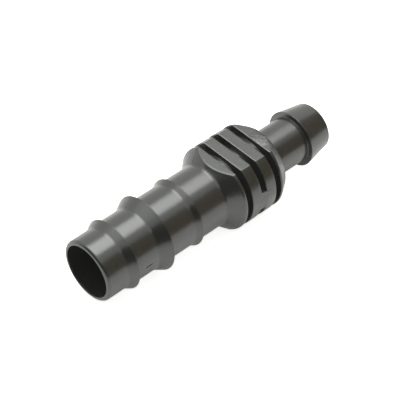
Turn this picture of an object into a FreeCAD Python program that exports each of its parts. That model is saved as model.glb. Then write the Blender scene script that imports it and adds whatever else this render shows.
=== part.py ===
import FreeCAD, Part
import math
import os
import types
import Sketcher

# Barbed hose reducer, moulded in one piece.
# The axis runs along X with the wide mouth at the low end; the grip's flats face up and down along Z.
# The origin is on the axis, midway along the length. Stations count from the wide mouth. Millimetres.

doc = FreeCAD.newDocument("BarbReducer")

# Sizes
SIZES = [
    ("shank_radius", 8.6, "wide tail between its barbs"),
    ("nose_step", 0.2, "lead-in below the shank"),
    ("wide_wall", 1.2, "wall at the lead-in"),
    ("lead_in", 6.5, "wide mouth to the first barb"),
    ("barb_slope", 29.3, "degrees, cones of the three wide barbs"),
    ("barb_one_height", 1.05, "ridge above the shank"),
    ("barb_two_height", 1.85, "ridge above the shank, the tallest"),
    ("barb_three_height", 0.9, "ridge above the shank"),
    ("land_one", 7.27, "plain shank behind the first barb"),
    ("land_two", 9.0, "plain shank behind the second barb"),
    ("land_three", 8.9, "plain shank behind the third barb"),
    ("shoulder_length", 3.4, "cone from the shank up to the grip"),
    ("shoulder_rim", 0.8, "plain rim between that cone and the first groove"),
    ("grip_rise", 3.15, "grip above the shank"),
    ("flat_rise", 1.07, "flats above the shank"),
    ("groove_width", 1.75, "along the axis"),
    ("groove_pitch", 4.98, "groove to groove"),
    ("groove_sink", 0.15, "groove floors below the shank"),
    ("web_angle", 28.0, "degrees, bridge across the middle groove on each side"),
    ("grip_rim", 0.64, "plain rim behind the last groove"),
    ("grip_fall", 2.9, "length of the cone from that rim down to the stop face"),
    ("stop_rise", 0.05, "rim of the stop face above the flats"),
    ("neck_radius", 6.45, "narrow tail behind its barb"),
    ("narrow_wall", 1.25, "wall at the neck"),
    ("neck_length", 11.75, "stop face to the shoulder of the narrow barb"),
    ("tail_barb_height", 1.45, "ridge above the neck"),
    ("tail_cone", 8.0, "shoulder to the narrow mouth"),
    ("tip_rise", 0.05, "narrow mouth above the neck, outside"),
    ("throat_setback", 2.3, "end of the passage's taper ahead of the stop face"),
    ("throat_length", 5.0, "taper of the passage"),
    ("mouth_land", 0.15, "flat of the wide mouth between its edges"),
    ("tip_land", 0.75, "flat of the narrow mouth between its edges"),
    ("lip_edge", 0.15, "broken inner edge of both mouths"),
    ("ridge_edge", 0.1, "broken edge of every barb ridge"),
    ("grip_edge", 0.12, "broken outer edges of the grip"),
    ("tail_fillet", 0.2, "neck to shoulder"),
]
sheet = doc.addObject("Spreadsheet::Sheet", "Sizes")
for row, (alias, value, note) in enumerate(SIZES, start=1):
    sheet.set("A%d" % row, alias)
    sheet.set("B%d" % row, str(value))
    sheet.set("C%d" % row, note)
    sheet.setAlias("B%d" % row, alias)
doc.recompute()


class Size:
    """A number together with the sheet formula that gives it."""

    def __init__(self, value, formula):
        self.value, self.formula = value, formula

    def joined(self, sign, other, value):
        text = other.formula if isinstance(other, Size) else str(other)
        return Size(value, "(%s %s %s)" % (self.formula, sign, text))

    def __add__(self, other):
        return self.joined("+", other, self.value + getattr(other, "value", other))

    def __sub__(self, other):
        return self.joined("-", other, self.value - getattr(other, "value", other))

    def __mul__(self, other):
        return self.joined("*", other, self.value * getattr(other, "value", other))

    def __truediv__(self, other):
        return self.joined("/", other, self.value / getattr(other, "value", other))

    def per_slope(self, slope):
        """The run along the axis that gives this rise at a slope in degrees."""
        return Size(self.value / math.tan(math.radians(slope.value)),
                    "(%s / tan(%s * 1 deg))" % (self.formula, slope.formula))


s = types.SimpleNamespace(**{alias: Size(float(sheet.get(alias)), "Sizes." + alias) for alias, _, _ in SIZES})

# Radii
nose = s.shank_radius - s.nose_step
wide_bore = nose - s.wide_wall
narrow_bore = s.neck_radius - s.narrow_wall
ridge_one_radius = s.shank_radius + s.barb_one_height
ridge_two_radius = s.shank_radius + s.barb_two_height
ridge_three_radius = s.shank_radius + s.barb_three_height
tail_ridge_radius = s.neck_radius + s.tail_barb_height
tip_radius = s.neck_radius + s.tip_rise
grip_radius = s.shank_radius + s.grip_rise
flat_height = s.shank_radius + s.flat_rise
stop_radius = flat_height + s.stop_rise
groove_floor = s.shank_radius - s.groove_sink

# Stations from the wide mouth, in order along the axis
barb_one = s.lead_in
ridge_one = barb_one + (ridge_one_radius - nose).per_slope(s.barb_slope)
barb_two = ridge_one + s.land_one
ridge_two = barb_two + s.barb_two_height.per_slope(s.barb_slope)
barb_three = ridge_two + s.land_two
ridge_three = barb_three + s.barb_three_height.per_slope(s.barb_slope)
shoulder = ridge_three + s.land_three
shoulder_top = shoulder + s.shoulder_length
first_groove = shoulder_top + s.shoulder_rim
grip_rear = first_groove + s.groove_pitch * 2 + s.groove_width + s.grip_rim
stop = grip_rear + s.grip_fall
throat = stop - s.throat_setback
tail_shoulder = stop + s.neck_length
overall = tail_shoulder + s.tail_cone
MOUTH = None

# Body, sketches and features
body = doc.addObject("PartDesign::Body", "ReducerBody")
AXIS = "on the axis"


def datum(role):
    return next(o for o in body.Origin.OriginFeatures if o.Role == role)


def drive(sketch, kind, where, length, name):
    number = sketch.addConstraint(Sketcher.Constraint(kind, *where, length.value))
    sketch.renameConstraint(number, name)
    sketch.setExpression("Constraints." + name, length.formula)


def outline(name, corners):
    """A closed outline on the XZ plane. Each corner is (label, station, height above the axis)."""
    sketch = body.newObject("Sketcher::SketchObject", name)
    sketch.AttachmentSupport = (datum("XZ_Plane"), [""])
    sketch.MapMode = "FlatFace"
    # construction line standing on the axis at the wide mouth, the zero of all stations
    half = overall / 2
    foot = FreeCAD.Vector(-half.value, 0, 0)
    mouth = sketch.addGeometry(Part.LineSegment(foot, foot + FreeCAD.Vector(0, 4, 0)), True)
    sketch.addConstraint(Sketcher.Constraint("PointOnObject", mouth, 1, -1))
    sketch.addConstraint(Sketcher.Constraint("Vertical", mouth))
    sketch.addConstraint(Sketcher.Constraint("DistanceY", mouth, 1, mouth, 2, 4.0))
    drive(sketch, "DistanceX", (mouth, 1, -1, 1), half, "mouth_to_middle")

    count = len(corners)
    spots = [foot + FreeCAD.Vector(0 if x is MOUTH else x.value, 0 if y is AXIS else y.value, 0)
             for _, x, y in corners]
    lines = [sketch.addGeometry(Part.LineSegment(spots[i], spots[(i + 1) % count]), False) for i in range(count)]
    placed_x, placed_y = set(), set()
    for i in range(count):
        after = (i + 1) % count
        sketch.addConstraint(Sketcher.Constraint("Coincident", lines[i], 2, lines[after], 1))
        if corners[i][1] is corners[after][1]:
            sketch.addConstraint(Sketcher.Constraint("Vertical", lines[i]))
            placed_x.add(after)
        elif corners[i][2] is corners[after][2] and corners[i][2] is not AXIS:
            sketch.addConstraint(Sketcher.Constraint("Horizontal", lines[i]))
            placed_y.add(after)
    for i, (label, x, y) in enumerate(corners):
        if i not in placed_x:
            if x is MOUTH:
                sketch.addConstraint(Sketcher.Constraint("PointOnObject", lines[i], 1, mouth))
            else:
                drive(sketch, "DistanceX", (mouth, 1, lines[i], 1), x, label + "_station")
        if y is AXIS:
            sketch.addConstraint(Sketcher.Constraint("PointOnObject", lines[i], 1, -1))
        elif i not in placed_y:
            drive(sketch, "DistanceY", (-1, 1, lines[i], 1), y, label + "_height")
    return sketch


def turned(kind, name, sketch, angle=None):
    """Sweep an outline round the axis: all the way, or by an angle centred on the sketch plane."""
    feature = body.newObject("PartDesign::" + kind, name)
    feature.Profile = sketch
    feature.ReferenceAxis = (sketch, ["H_Axis"])
    feature.Angle = 360.0
    if angle:
        feature.Midplane = True
        feature.setExpression("Angle", angle)
    sketch.Visibility = False
    doc.recompute()
    return feature


def dressed(kind, name, width, wanted):
    """Round ("Fillet") or break ("Chamfer") every edge of the body so far that the test accepts."""
    base = body.Tip
    edges = ["Edge%d" % n for n, edge in enumerate(base.Shape.Edges, start=1) if wanted(edge)]
    if not edges:
        raise ValueError(name + ": no edge found")
    feature = body.newObject("PartDesign::" + kind, name)
    feature.Base = (base, edges)
    feature.setExpression("Radius" if kind == "Fillet" else "Size", width.formula)
    base.Visibility = False
    doc.recompute()
    return feature


def ring_at(station, *radii):
    """Test for a full circle round the axis at a station, with one of the radii."""
    x = (0 if station is MOUTH else station.value) - overall.value / 2

    def test(edge):
        curve = edge.Curve
        return (isinstance(curve, Part.Circle) and abs(curve.Center.x - x) < 1e-4
                and any(abs(curve.Radius - r.value) < 1e-4 for r in radii))
    return test


def any_of(*tests):
    return lambda edge: any(test(edge) for test in tests)


# Wide shank and narrow neck
turned("Revolution", "Tube", outline("TubeOutline", [
    ("mouth_axis", MOUTH, AXIS),
    ("nose", MOUTH, nose),
    ("nose_end", ridge_one, nose),
    ("shank", ridge_one, s.shank_radius),
    ("shank_end", stop, s.shank_radius),
    ("neck", stop, s.neck_radius),
    ("neck_end", tail_shoulder, s.neck_radius),
    ("neck_end_axis", tail_shoulder, AXIS),
]))

# Barbs of the wide tail, each a cone that rises towards the grip and drops at its ridge
for number, start, foot_radius, ridge, ridge_radius in (
        ("One", barb_one, nose, ridge_one, ridge_one_radius),
        ("Two", barb_two, s.shank_radius, ridge_two, ridge_two_radius),
        ("Three", barb_three, s.shank_radius, ridge_three, ridge_three_radius)):
    turned("Revolution", "Barb" + number, outline("BarbOutline" + number, [
        ("foot_axis", start, AXIS),
        ("foot", start, foot_radius),
        ("ridge", ridge, ridge_radius),
        ("ridge_axis", ridge, AXIS),
    ]))

# Barb of the narrow tail, whose cone runs down to the narrow mouth
turned("Revolution", "TailBarb", outline("TailBarbOutline", [
    ("shoulder_axis", tail_shoulder, AXIS),
    ("ridge", tail_shoulder, tail_ridge_radius),
    ("tip", overall, tip_radius),
    ("tip_axis", overall, AXIS),
]))

# Grip: cone up, plain cylinder, cone down to the stop face
turned("Revolution", "Grip", outline("GripOutline", [
    ("foot_axis", shoulder, AXIS),
    ("foot", shoulder, s.shank_radius),
    ("front", shoulder_top, grip_radius),
    ("rear", grip_rear, grip_radius),
    ("stop", stop, stop_radius),
    ("stop_axis", stop, AXIS),
]))

# Flats across the grip, top and bottom
clear = grip_radius + 1
flat_outline = outline("FlatOutline", [
    ("front", shoulder, flat_height),
    ("front_top", shoulder, clear),
    ("rear_top", stop, clear),
    ("rear", stop, flat_height),
])
flat_top = body.newObject("PartDesign::Pocket", "FlatTop")
flat_top.Profile = flat_outline
flat_top.Midplane = True
flat_top.setExpression("Length", (clear * 2).formula)
flat_outline.Visibility = False
doc.recompute()


# Grooves of the grip, sunk just below the shank so that the wall stays nearly even
def groove_outline(name, front):
    rear = front + s.groove_width
    return outline(name, [
        ("front", front, groove_floor),
        ("front_top", front, clear),
        ("rear_top", rear, clear),
        ("rear", rear, groove_floor),
    ])


# the outer two run all round
groove_front = turned("Groove", "GrooveFront", groove_outline("GrooveFrontOutline", first_groove))
groove_pair = body.newObject("PartDesign::LinearPattern", "GroovePair")
groove_pair.Originals = [groove_front]
groove_pair.Direction = (datum("X_Axis"), [""])
groove_pair.setExpression("Length", (s.groove_pitch * 2).formula)
groove_pair.Occurrences = 2
body.Tip = groove_pair
doc.recompute()

# the middle one stops at a web on each side, and is mirrored below with the flat
groove_middle = turned("Groove", "GrooveMiddle",
                       groove_outline("GrooveMiddleOutline", first_groove + s.groove_pitch),
                       "180 - " + s.web_angle.formula)
lower_half = body.newObject("PartDesign::Mirrored", "LowerHalf")
lower_half.Originals = [flat_top, groove_middle]
lower_half.MirrorPlane = (datum("XY_Plane"), [""])
body.Tip = lower_half
doc.recompute()

# Passage, stepped down inside the grip
turned("Groove", "Passage", outline("PassageOutline", [
    ("mouth_axis", MOUTH, AXIS),
    ("mouth", MOUTH, wide_bore),
    ("taper_start", throat - s.throat_length, wide_bore),
    ("taper_end", throat, narrow_bore),
    ("tip", overall, narrow_bore),
    ("tip_axis", overall, AXIS),
]))

# Rounded and broken edges
dressed("Fillet", "MouthRound", s.wide_wall - s.lip_edge - s.mouth_land, ring_at(MOUTH, nose))
dressed("Fillet", "TipRound", tip_radius - narrow_bore - s.lip_edge - s.tip_land, ring_at(overall, tip_radius))
dressed("Fillet", "TailFillet", s.tail_fillet, ring_at(tail_shoulder, s.neck_radius))
dressed("Chamfer", "LipEdges", s.lip_edge, any_of(ring_at(MOUTH, wide_bore), ring_at(overall, narrow_bore)))
dressed("Chamfer", "RidgeEdges", s.ridge_edge, any_of(
    ring_at(ridge_one, ridge_one_radius), ring_at(ridge_two, ridge_two_radius),
    ring_at(ridge_three, ridge_three_radius), ring_at(tail_shoulder, tail_ridge_radius)))


def grip_edge(edge):
    """Straight and round outer edges of the bars and rims, all that stand clear of the groove floors."""
    if not isinstance(edge.Curve, (Part.Line, Part.Circle)):
        return False
    first, last = edge.ParameterRange
    spots = [edge.valueAt(first + (last - first) * part) for part in (0.02, 0.35, 0.65, 0.98)]
    front, rear = (station.value - overall.value / 2 for station in (shoulder, stop))
    lowest = s.shank_radius.value + s.flat_rise.value / 2
    return all(front + 0.01 < p.x < rear + 0.01 and math.hypot(p.y, p.z) > lowest for p in spots)


dressed("Chamfer", "GripEdges", s.grip_edge, grip_edge)

# Checks before writing
for thing in doc.Objects:
    if "Invalid" in thing.State or "Error" in thing.State:
        raise ValueError("%s: %s" % (thing.Name, thing.State))
solid = body.Shape
if solid.isNull() or not solid.isValid() or len(solid.Solids) != 1:
    raise ValueError("the reducer is not one valid solid")

os.makedirs("parts", exist_ok=True)
solid.exportStep("parts/reducer_body.step")
box = solid.optimalBoundingBox(False)
print("reducer_body %.2f x %.2f x %.2f mm, %.3f cm3, %d faces"
      % (box.XLength, box.YLength, box.ZLength, solid.Volume / 1000, len(solid.Faces)))
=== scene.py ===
import math

import bmesh
import bpy
from mathutils import Matrix, Vector


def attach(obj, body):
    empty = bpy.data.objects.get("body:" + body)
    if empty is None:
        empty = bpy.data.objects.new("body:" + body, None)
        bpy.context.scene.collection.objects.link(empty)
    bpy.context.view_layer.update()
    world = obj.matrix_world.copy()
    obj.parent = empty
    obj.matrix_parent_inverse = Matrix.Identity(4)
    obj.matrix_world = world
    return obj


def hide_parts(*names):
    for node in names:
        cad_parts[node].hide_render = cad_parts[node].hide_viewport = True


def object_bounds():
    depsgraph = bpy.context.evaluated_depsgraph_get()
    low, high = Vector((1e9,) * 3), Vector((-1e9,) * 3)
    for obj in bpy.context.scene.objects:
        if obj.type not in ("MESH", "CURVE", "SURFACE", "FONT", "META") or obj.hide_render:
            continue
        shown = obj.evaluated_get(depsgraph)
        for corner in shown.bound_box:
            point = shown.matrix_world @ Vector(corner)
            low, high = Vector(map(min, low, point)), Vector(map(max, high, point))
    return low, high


# Barbed hose reducer, one moulding of black plastic, lying on a pale floor.
# The axis runs along X with the wide mouth at -X; the grip's flats face up and down.
# Sizes of the part are in millimetres and are turned into metres by MM; the studio is in metres.
# Stations count from the wide mouth.

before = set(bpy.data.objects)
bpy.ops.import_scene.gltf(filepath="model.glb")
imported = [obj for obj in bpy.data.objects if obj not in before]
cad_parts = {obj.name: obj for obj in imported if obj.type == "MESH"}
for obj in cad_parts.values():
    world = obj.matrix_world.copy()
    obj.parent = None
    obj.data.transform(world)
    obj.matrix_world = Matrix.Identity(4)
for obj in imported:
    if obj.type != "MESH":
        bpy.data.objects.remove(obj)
cad_low, cad_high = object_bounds()
MM = 0.001

# Wide tail
SHANK = 8.6
NOSE = 8.4
BORE_WIDE = 7.2
RIDGES_WIDE = (9.65, 10.45, 9.5)
BARB_SLOPE = math.radians(29.3)
LEAD_IN = 6.5
LANDS = (7.27, 9.0, 8.9)

# Grip
SHOULDER_LENGTH = 3.4
SHOULDER_RIM = 0.8
GRIP = 11.75
FLAT = 9.67
GROOVE_FLOOR = 8.45
GROOVE_WIDTH = 1.75
GROOVE_PITCH = 4.98
GRIP_RIM = 0.64
GRIP_FALL = 2.9
STOP = 9.72

# Narrow tail
NECK = 6.45
BORE_NARROW = 5.2
NECK_LENGTH = 11.75
TAIL_RIDGE = 7.9
TIP = 6.5
TAIL_CONE = 8.0
THROAT_SETBACK = 2.3
THROAT_LENGTH = 5.0

# Roundings
MOUTH_ROUND = 0.9
TIP_ROUND = 0.4
LIP_ROUND = 0.16
RIDGE_ROUND = 0.16
FOOT_ROUND = 0.5
BARB_FOOT_ROUND = 0.3
TAIL_FILLET = 0.2
FLOOR_ROUND = 0.15
GRIP_EDGE = 0.3
SIDE_EDGE = 0.14
SHOULDER_ROUND = 0.3
BORE_ROUND = 1.2
ROUND_STEPS = 4
EDGE_SHAPE = 0.68
SMOOTH_BELOW = math.radians(32)
BROAD_FACE_WEIGHT = 100

# Mark of the mould on the wide tail
MARK_START = 11.5
MARK_LENGTH = 2.1
MARK_HALF_TURN = 1.0
MARK_DEPTH = 0.14

# Steps round the axis, one a degree; the webs reach 14 of them to either side
TURN_STEPS = 360
WEB_STEPS = 14

# A little more or less, in millimetres, for picking by place
HAIR = 0.1

# Tolerances in metres: points nearer than SAME count as one; cuts and corners go by EXACT
SAME = 1e-6
EXACT = 1e-7


def run_of(rise):
    """Length along the axis of a barb's cone that rises this much."""
    return rise / math.tan(BARB_SLOPE)


# Stations
ridge_one = LEAD_IN + run_of(RIDGES_WIDE[0] - NOSE)
barb_two = ridge_one + LANDS[0]
ridge_two = barb_two + run_of(RIDGES_WIDE[1] - SHANK)
barb_three = ridge_two + LANDS[1]
ridge_three = barb_three + run_of(RIDGES_WIDE[2] - SHANK)
shoulder = ridge_three + LANDS[2]
shoulder_top = shoulder + SHOULDER_LENGTH
groove_fronts = [shoulder_top + SHOULDER_RIM + GROOVE_PITCH * i for i in range(3)]
grip_rear = groove_fronts[2] + GROOVE_WIDTH + GRIP_RIM
stop = grip_rear + GRIP_FALL
throat = stop - THROAT_SETBACK
tail_shoulder = stop + NECK_LENGTH
overall = tail_shoulder + TAIL_CONE
MOUTH_X = cad_low.x


def station(value):
    return MOUTH_X + value * MM


# Modelling helpers
def nothing_selected():
    if bpy.context.object and bpy.context.object.mode != "OBJECT":
        bpy.ops.object.mode_set(mode="OBJECT")
    bpy.ops.object.select_all(action="DESELECT")


def pick(mode, wanted):
    """In edit mode, select only the vertices, edges or faces that the test accepts."""
    bpy.ops.mesh.select_mode(type=mode)
    bpy.ops.mesh.select_all(action="DESELECT")
    mesh = bmesh.from_edit_mesh(bpy.context.object.data)
    parts = {"VERT": mesh.verts, "EDGE": mesh.edges, "FACE": mesh.faces}[mode]
    for part in parts:
        if wanted(part):
            part.select_set(True)
    bmesh.update_edit_mesh(bpy.context.object.data)


def height_off_axis(point):
    return math.hypot(point.y, point.z)


def single_point(name, spot):
    """A new piece that holds one vertex, left in edit mode to be drawn on from there."""
    nothing_selected()
    bpy.ops.mesh.primitive_plane_add(size=MM, location=(0, 0, 0))
    piece = bpy.context.object
    piece.name = name
    bpy.ops.object.mode_set(mode="EDIT")
    bpy.ops.mesh.select_mode(type="VERT")
    bpy.ops.mesh.select_all(action="SELECT")
    bpy.ops.mesh.merge(type="CENTER")
    bpy.ops.transform.translate(value=spot)
    return piece


def turned_section(name, corners):
    """Draw a closed section by extruding one point, round its corners, and spin it about the axis."""
    spots = [Vector((station(x), 0, radius * MM)) for x, radius, _ in corners]
    piece = single_point(name, spots[0])
    for before, after in zip(spots, spots[1:]):
        bpy.ops.mesh.extrude_region_move(TRANSFORM_OT_translate={"value": after - before})
    pick("VERT", lambda v: min((v.co - spot).length for spot in (spots[0], spots[-1])) < EXACT)
    bpy.ops.mesh.edge_face_add()
    for spot, (_, _, rounding) in zip(spots, corners):
        if rounding:
            pick("VERT", lambda v: (v.co - spot).length < EXACT)
            bpy.ops.mesh.bevel(offset=rounding * MM, segments=ROUND_STEPS, affect="VERTICES",
                               clamp_overlap=False)
    bpy.ops.mesh.select_all(action="SELECT")
    bpy.ops.mesh.spin(steps=TURN_STEPS, angle=math.tau, center=(0, 0, 0), axis=(1, 0, 0))
    bpy.ops.mesh.select_all(action="SELECT")
    bpy.ops.mesh.remove_doubles(threshold=SAME)
    bpy.ops.mesh.select_all(action="SELECT")
    bpy.ops.mesh.normals_make_consistent(inside=False)
    return piece


def section_corners():
    """Outline from the wide mouth along the outside to the narrow mouth, and back through the passage.

    Each corner has a station, a radius and a rounding. The middle groove is made later.
    """
    corners = [(0, BORE_WIDE, LIP_ROUND), (0, NOSE, MOUTH_ROUND), (LEAD_IN, NOSE, FOOT_ROUND)]
    ridges = (ridge_one, ridge_two, ridge_three)
    feet = (barb_two, barb_three, shoulder)
    for ridge, radius, foot in zip(ridges, RIDGES_WIDE, feet):
        corners += [(ridge, radius, RIDGE_ROUND), (ridge, SHANK, BARB_FOOT_ROUND), (foot, SHANK, FOOT_ROUND)]
    corners.append((shoulder_top, GRIP, SHOULDER_ROUND))
    for number, front in enumerate(groove_fronts):
        rear = front + GROOVE_WIDTH
        corners.append((front, GRIP, 0))
        if number != 1:
            corners += [(front, GROOVE_FLOOR, FLOOR_ROUND), (rear, GROOVE_FLOOR, FLOOR_ROUND)]
        corners.append((rear, GRIP, 0))
    corners += [
        (grip_rear, GRIP, 0),
        (stop, STOP, 0),
        (stop, NECK, BARB_FOOT_ROUND),
        (tail_shoulder, NECK, TAIL_FILLET),
        (tail_shoulder, TAIL_RIDGE, RIDGE_ROUND),
        (overall, TIP, TIP_ROUND),
        (overall, BORE_NARROW, LIP_ROUND),
        (throat, BORE_NARROW, BORE_ROUND),
        (throat - THROAT_LENGTH, BORE_WIDE, BORE_ROUND),
    ]
    return corners


def middle_groove():
    """Push the band between the two bars in to the groove floor, apart from the web on each side."""
    front, rear = station(groove_fronts[1]), station(groove_fronts[1] + GROOVE_WIDTH)
    web = math.tau * WEB_STEPS / TURN_STEPS

    def in_band(face):
        spot = face.calc_center_median()
        side = math.atan2(abs(spot.z), abs(spot.y))
        return front < spot.x < rear and height_off_axis(spot) > (GRIP - HAIR) * MM and side > web

    pick("FACE", in_band)
    bpy.ops.mesh.extrude_region()
    inward = GROOVE_FLOOR / GRIP
    bpy.ops.transform.resize(value=(1, inward, inward), center_override=(0, 0, 0))


def flats():
    """Cut the grip off level above and below."""
    low, high = station(shoulder + HAIR), station(stop) + SAME
    sliver = 0.04 * MM
    for side in (1, -1):
        pick("FACE", lambda f: low < f.calc_center_median().x < high
             and any(height_off_axis(v.co) > FLAT * MM for v in f.verts))
        bpy.ops.mesh.bisect(plane_co=(0, 0, side * FLAT * MM), plane_no=(0, 0, side),
                            use_fill=True, clear_outer=True, threshold=EXACT)
        pick("EDGE", lambda e: e.calc_length() < sliver
             and all(abs(v.co.z - side * FLAT * MM) < SAME for v in e.verts))
        bpy.ops.mesh.merge(type="COLLAPSE")


def mould_mark():
    """Sink one short plain stroke into the shank behind the first barb."""
    start, end = station(MARK_START), station(MARK_START + MARK_LENGTH)

    def in_strip(face):
        spot = face.calc_center_median()
        turn = math.degrees(math.atan2(spot.z, -spot.y))
        return (station(ridge_one) < spot.x < station(barb_two) and abs(turn) < MARK_HALF_TURN
                and height_off_axis(spot) > (SHANK - HAIR) * MM)

    for cut in (start, end):
        pick("FACE", in_strip)
        bpy.ops.mesh.bisect(plane_co=(cut, 0, 0), plane_no=(1, 0, 0), threshold=EXACT)
    pick("FACE", lambda f: in_strip(f) and start < f.calc_center_median().x < end)
    bpy.ops.mesh.extrude_region()
    inward = (SHANK - MARK_DEPTH) / SHANK
    bpy.ops.transform.resize(value=(1, inward, inward), center_override=(0, 0, 0))


def grip_edges(piece):
    """Soften the sharp edges of the grip, least beside the bars' flats and at the stop face."""
    low, high = station(groove_fronts[0] - HAIR), station(stop + HAIR)
    clear_of_floor = (SHANK + HAIR) * MM
    sharp, blunt = math.radians(25), math.radians(60)

    def on_flat(edge):
        return all(abs(abs(v.co.z) - FLAT * MM) < SAME for v in edge.verts)

    def wanted(edge):
        if len(edge.link_faces) != 2 or edge.calc_face_angle(0) < sharp:
            return False
        return on_flat(edge) or all(
            low < v.co.x < high and height_off_axis(v.co) > clear_of_floor for v in edge.verts)

    def slight(edge):
        at_stop = all(abs(v.co.x - station(stop)) < SAME for v in edge.verts)
        behind_cone = any(v.co.x > station(groove_fronts[0]) + SAME for v in edge.verts)
        return wanted(edge) and (at_stop or behind_cone and on_flat(edge) and edge.calc_face_angle(0) < blunt)

    pick("EDGE", wanted)
    bpy.ops.transform.edge_bevelweight(value=1.0)
    pick("EDGE", slight)
    bpy.ops.transform.edge_bevelweight(value=SIDE_EDGE / GRIP_EDGE - 1)
    bpy.ops.object.mode_set(mode="OBJECT")
    modifier = piece.modifiers.new("grip_edges", "BEVEL")
    modifier.limit_method = "WEIGHT"
    modifier.width = GRIP_EDGE * MM
    modifier.segments = ROUND_STEPS
    modifier.profile = EDGE_SHAPE
    modifier.use_clamp_overlap = False
    bpy.ops.object.modifier_apply(modifier=modifier.name)


def moulding():
    piece = turned_section("reducer", section_corners())
    middle_groove()
    flats()
    mould_mark()
    grip_edges(piece)
    bpy.ops.object.shade_smooth_by_angle(angle=SMOOTH_BELOW)
    # large faces keep their own normals and the roundings between them take up the turn
    modifier = piece.modifiers.new("broad_faces", "WEIGHTED_NORMAL")
    modifier.keep_sharp = True
    modifier.weight = BROAD_FACE_WEIGHT
    bpy.ops.object.modifier_apply(modifier=modifier.name)
    return piece


# Materials
# Rough spots: station, Y and Z of the middle, and how far each reaches
WEB_SCUFF = (49.6, -11.7, -1.2, 3.2)
FLAT_SCUFF = (57.0, -1.5, FLAT, 3.0)

# Unevenness of the plastic, in millimetres, and how fine each kind is, in turns a metre
GRAIN_HEIGHT, GRAIN_FINENESS = 0.017, 2400.0
SINK_HEIGHT, SINK_FINENESS = 0.012, 260.0
SCUFF_HEIGHT, SCUFF_FINENESS = 0.55, 1250.0
BLOOM_FINENESS = 120.0

# Colour and gloss of the plastic
DARK_PLASTIC = (0.0125, 0.0128, 0.0108, 1)
LIGHT_PLASTIC = (0.0185, 0.019, 0.0163, 1)
ROUGHNESS = 0.2
ROUGHER_BY_BLOOM = 0.06
ROUGHER_BY_GRAIN = 0.02
PLASTIC_IOR = 1.8
# painted light: a faint glow on all the plastic that lifts its deepest shade
PAINTED_GLOW_COLOUR = (0.92, 1, 0.9, 1)
PAINTED_GLOW = 0.0065

# White paper: what it adds for the camera, and how much of that the part mirrors, fading to 0 at the reach;
# the mirrored share is painted light, a pool of brightness on the floor round the part that only its
# reflections show
PAPER = (0.9, 0.9, 0.9, 1)
WHITE = (1, 1, 1, 1)
FLOOR_LIFT = 0.85
PAINTED_FLOOR_LIGHT = 0.28
PAINTED_FLOOR_LIGHT_REACH = 0.09
PAINTED_FLOOR_LIGHT_SHAPE = (0.6, 1, 0)

# Places of outputs and sockets that have no name of their own
OBJECT_COORDINATES = 3
MEASURE = 1
MIX_FACTOR, MIX_FIRST, MIX_SECOND, MIX_RESULT = 0, 6, 7, 2


class Wire:
    """A socket that takes part in sums, so that shader maths reads as maths."""

    def __init__(self, tree, socket):
        self.tree, self.socket = tree, socket

    def maths(self, operation, first, second):
        return self.tree.add("ShaderNodeMath", {"operation": operation}, {0: first, 1: second})

    def __add__(self, other):
        return self.maths("ADD", self, other)

    __radd__ = __add__

    def __sub__(self, other):
        return self.maths("SUBTRACT", self, other)

    def __rsub__(self, other):
        return self.maths("SUBTRACT", other, self)

    def __mul__(self, other):
        return self.maths("MULTIPLY", self, other)

    __rmul__ = __mul__

    def larger(self, other):
        return self.maths("MAXIMUM", self, other)


class Tree:
    """The node tree of a material or world, built from calls."""

    def __init__(self, owner):
        owner.use_nodes = True
        self.tree = owner.node_tree
        self.tree.nodes.clear()

    def add(self, kind, settings=None, sockets=None, output=0):
        node = self.tree.nodes.new(kind)
        for name, value in (settings or {}).items():
            setattr(node, name, value)
        for name, value in (sockets or {}).items():
            if isinstance(value, Wire):
                self.tree.links.new(value.socket, node.inputs[name])
            else:
                node.inputs[name].default_value = value
        return Wire(self, node.outputs[output]) if node.outputs else node


def black_plastic():
    material = bpy.data.materials.new("black_plastic")
    tree = Tree(material)
    place = tree.add("ShaderNodeTexCoord", output=OBJECT_COORDINATES)

    def uneven(fineness, detail=2.0, roughness=0.5):
        return tree.add("ShaderNodeTexNoise", {}, {
            "Vector": place, "Scale": fineness, "Detail": detail, "Roughness": roughness})

    def scuffed(x, y, z, reach):
        """Fades from 1 at a spot on the surface to 0 at its reach."""
        distance = tree.add("ShaderNodeVectorMath", {"operation": "DISTANCE"},
                            {0: place, 1: (station(x), y * MM, z * MM)}, output=MEASURE)
        return (1 - distance * (1 / (reach * MM))).larger(0)

    grain, sink = uneven(GRAIN_FINENESS), uneven(SINK_FINENESS)
    bloom = uneven(BLOOM_FINENESS, detail=5.0, roughness=0.6)
    # the moulding is rough on one web and at the edge of the rear flat
    rough_spots = uneven(SCUFF_FINENESS) * (scuffed(*WEB_SCUFF) + scuffed(*FLAT_SCUFF))
    height = grain * GRAIN_HEIGHT + rough_spots * SCUFF_HEIGHT + sink * SINK_HEIGHT
    bumped = tree.add("ShaderNodeBump", {}, {"Strength": 1.0, "Distance": MM, "Height": height})
    colour = tree.add("ShaderNodeMix", {"data_type": "RGBA"}, {
        MIX_FACTOR: bloom, MIX_FIRST: DARK_PLASTIC, MIX_SECOND: LIGHT_PLASTIC}, output=MIX_RESULT)
    shader = tree.add("ShaderNodeBsdfPrincipled", {}, {
        "Base Color": colour,
        "Roughness": ROUGHNESS + bloom * ROUGHER_BY_BLOOM + grain * ROUGHER_BY_GRAIN,
        "IOR": PLASTIC_IOR,
        "Normal": bumped,
        # painted light: a trace of glow over all the plastic, standing in for the light that air and lens
        # spread into its deepest shade, such as inside the bore
        "Emission Color": PAINTED_GLOW_COLOUR,
        "Emission Strength": PAINTED_GLOW,
    })
    tree.add("ShaderNodeOutputMaterial", {}, {"Surface": shader})
    return material


def seen_directly(tree, share_mirrored):
    """1 for camera rays, a share for mirrored and passing rays, 0 for light that falls on something."""
    camera_ray, glossy_ray, passing_ray = (
        tree.add("ShaderNodeLightPath", output=way)
        for way in ("Is Camera Ray", "Is Glossy Ray", "Is Transmission Ray"))
    return camera_ray.larger(glossy_ray.larger(passing_ray) * share_mirrored)


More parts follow.
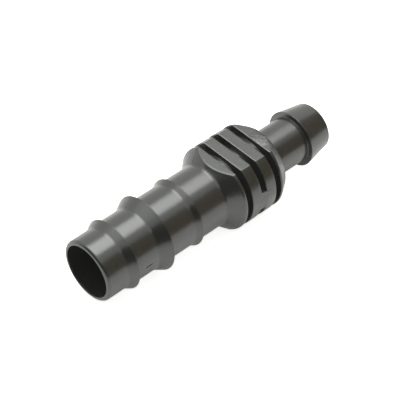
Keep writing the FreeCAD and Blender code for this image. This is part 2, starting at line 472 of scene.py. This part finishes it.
def pale_floor():
    material = bpy.data.materials.new("pale_floor")
    tree = Tree(material)
    matt = tree.add("ShaderNodeBsdfDiffuse", {}, {"Color": PAPER})
    lift = tree.add("ShaderNodeEmission", {}, {"Color": WHITE, "Strength": FLOOR_LIFT})
    shown = tree.add("ShaderNodeAddShader", {}, {0: matt, 1: lift})
    place = tree.add("ShaderNodeTexCoord", output=OBJECT_COORDINATES)
    oval = tree.add("ShaderNodeVectorMath", {"operation": "MULTIPLY"}, {0: place, 1: PAINTED_FLOOR_LIGHT_SHAPE})
    away = tree.add("ShaderNodeVectorMath", {"operation": "LENGTH"}, {0: oval}, output=MEASURE)
    # painted light: an oval pool of extra floor brightness round the part, shown only to mirrored and passing
    # rays
    painted_floor_light = (1 - away * (1 / PAINTED_FLOOR_LIGHT_REACH)).larger(0) * PAINTED_FLOOR_LIGHT
    shader = tree.add("ShaderNodeMixShader", {}, {0: seen_directly(tree, painted_floor_light), 1: matt, 2: shown})
    tree.add("ShaderNodeOutputMaterial", {}, {"Surface": shader})
    return material


# Object
body = moulding()
body.data.materials.clear()
body.data.materials.append(black_plastic())
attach(body, "root")
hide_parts("reducer_body")

# Floor
FLOOR_SIZE = 4.0
nothing_selected()
bpy.ops.mesh.primitive_plane_add(size=FLOOR_SIZE, location=(0, 0, cad_low.z))
floor = bpy.context.object
floor.name = "floor"
floor.data.materials.append(pale_floor())


# Studio
def towards(azimuth, elevation):
    """Direction on the sky: azimuth 0 is -Y, 90 is +X."""
    a, e = math.radians(azimuth), math.radians(elevation)
    return Vector((math.sin(a) * math.cos(e), -math.cos(a) * math.cos(e), math.sin(e)))


def soft_box(name, place, width, depth, radiance, colour):
    """Rectangular lamp with an even face, hung level, that shines down."""
    lamp = bpy.data.lights.new(name, "AREA")
    lamp.shape = "RECTANGLE"
    lamp.size, lamp.size_y = width, depth
    lamp.energy = radiance * math.pi * width * depth
    lamp.color = colour
    holder = bpy.data.objects.new(name, lamp)
    bpy.context.scene.collection.objects.link(holder)
    holder.location = place
    holder.visible_camera = False


# A wide box, a smaller and stronger one just below it, and a third beyond the wide mouth for the cones
COOL = (0.955, 1, 0.98)
DAYLIGHT = (0.985, 1, 0.965)
soft_box("wide_soft_box", (0.10, 0.24, 1.0), width=1.4, depth=0.82, radiance=0.90, colour=COOL)
soft_box("key_soft_box", (0.235, 0.28, 0.93), width=0.71, depth=0.82, radiance=3.1, colour=DAYLIGHT)
soft_box("far_soft_box", (-0.66, 0.80, 1.0), width=0.5, depth=0.9, radiance=0.8, colour=COOL)

SKY_STRENGTH = 1.05
world = bpy.data.worlds.new("studio")
bpy.context.scene.world = world
sky = Tree(world)
shine = sky.add("ShaderNodeBackground", {}, {"Color": (*DAYLIGHT, 1), "Strength": SKY_STRENGTH})
sky.add("ShaderNodeOutputWorld", {}, {"Surface": shine})

# Dark walls behind and beside the camera, out of its sight, that give the plastic its dark band
WALL_RADIUS = 0.6
WALL_STEPS = 48
BROWN = (0.22, 0.175, 0.13, 1)
BLACK = (0.02, 0.02, 0.02, 1)
GREY = (0.10, 0.10, 0.09, 1)


def dark_wall(name, start, end, height, tone):
    """Curved wall round the part, between two azimuths."""
    wall = single_point(name, towards(end, 0) * WALL_RADIUS + Vector((0, 0, cad_low.z)))
    bpy.ops.mesh.extrude_region_move(TRANSFORM_OT_translate={"value": (0, 0, height)})
    bpy.ops.mesh.select_all(action="SELECT")
    bpy.ops.mesh.spin(steps=WALL_STEPS, angle=math.radians(end - start), center=(0, 0, 0), axis=(0, 0, 1))
    bpy.ops.object.mode_set(mode="OBJECT")
    cloth = bpy.data.materials.new(name)
    tree = Tree(cloth)
    matt = tree.add("ShaderNodeBsdfDiffuse", {}, {"Color": tone})
    tree.add("ShaderNodeOutputMaterial", {}, {"Surface": matt})
    wall.data.materials.append(cloth)
    wall.visible_camera = False


dark_wall("brown_wall", start=-8, end=98, height=0.66, tone=BROWN)
dark_wall("black_wall", start=-60, end=-8, height=0.66, tone=BLACK)
dark_wall("grey_wall", start=-138, end=-60, height=0.62, tone=GREY)

# Camera, with its distance, aim, lens and film in millimetres
CAMERA_AZIMUTH = -44.79
CAMERA_ELEVATION = 45.40
CAMERA_DISTANCE = 398.0
CAMERA_ROLL = 2.13
AIM = Vector((-2.06, -0.53, 0.01))
LENS = 142.5
FILM_WIDTH = 36.0

camera = bpy.data.objects.new("camera", bpy.data.cameras.new("camera"))
bpy.context.scene.collection.objects.link(camera)
camera.data.lens = LENS
camera.data.sensor_width = FILM_WIDTH
camera.data.clip_start, camera.data.clip_end = 0.01, 20.0
back = towards(CAMERA_AZIMUTH, CAMERA_ELEVATION)
turn = back.to_track_quat("Z", "Y").to_matrix() @ Matrix.Rotation(math.radians(CAMERA_ROLL), 3, "Z")
camera.matrix_world = Matrix.Translation((AIM + back * CAMERA_DISTANCE) * MM) @ turn.to_4x4()
bpy.context.scene.camera = camera
bpy.context.scene.view_settings.view_transform = "Standard"
